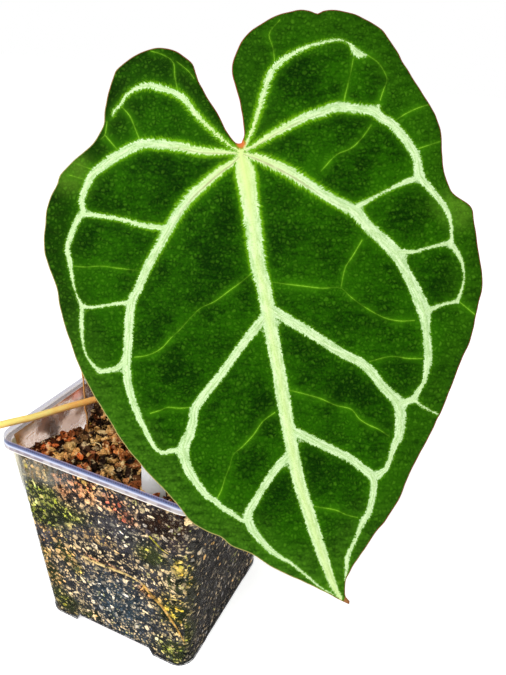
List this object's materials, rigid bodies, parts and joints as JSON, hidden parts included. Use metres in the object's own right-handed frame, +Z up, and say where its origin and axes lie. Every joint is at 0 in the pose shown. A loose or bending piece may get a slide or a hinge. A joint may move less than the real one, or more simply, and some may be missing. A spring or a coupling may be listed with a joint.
{
  "type": "potted crystal anthurium",
  "caption": "Large heart-shaped velvet leaf with pale branching veins on an upright petiole, growing from chunky mix in a clear square nursery pot.",
  "frame": {"origin": "on the standing surface, below the middle of the whole object's box", "axes": "+Z up, -Y towards the pot's front wall, +X to the right of someone who faces that wall"},
  "size_m": [0.1806, 0.1023, 0.2632],
  "materials": {
    "clear_plastic": "clear, glossy, faintly lavender at its edges",
    "bark_mix": "rough chunks of bark, husk and grit",
    "stem_bark": "dry fibrous stem with old leaf scars",
    "velvet_leaf": "dark velvet green with pale silvery veins",
    "yellow_stalk": "smooth, yellowed, slightly waxy",
    "dry_sheath": "dry, papery, brown",
    "white_plastic": "blank, smooth, white"
  },
  "bodies": {
    "root": {"pot": "clear_plastic", "potting_mix": "bark_mix", "crown": "stem_bark", "leaf": "velvet_leaf", "old_petiole": "yellow_stalk", "dry_bract": "dry_sheath", "plant_label": "white_plastic"}
  },
  "joints": []
}
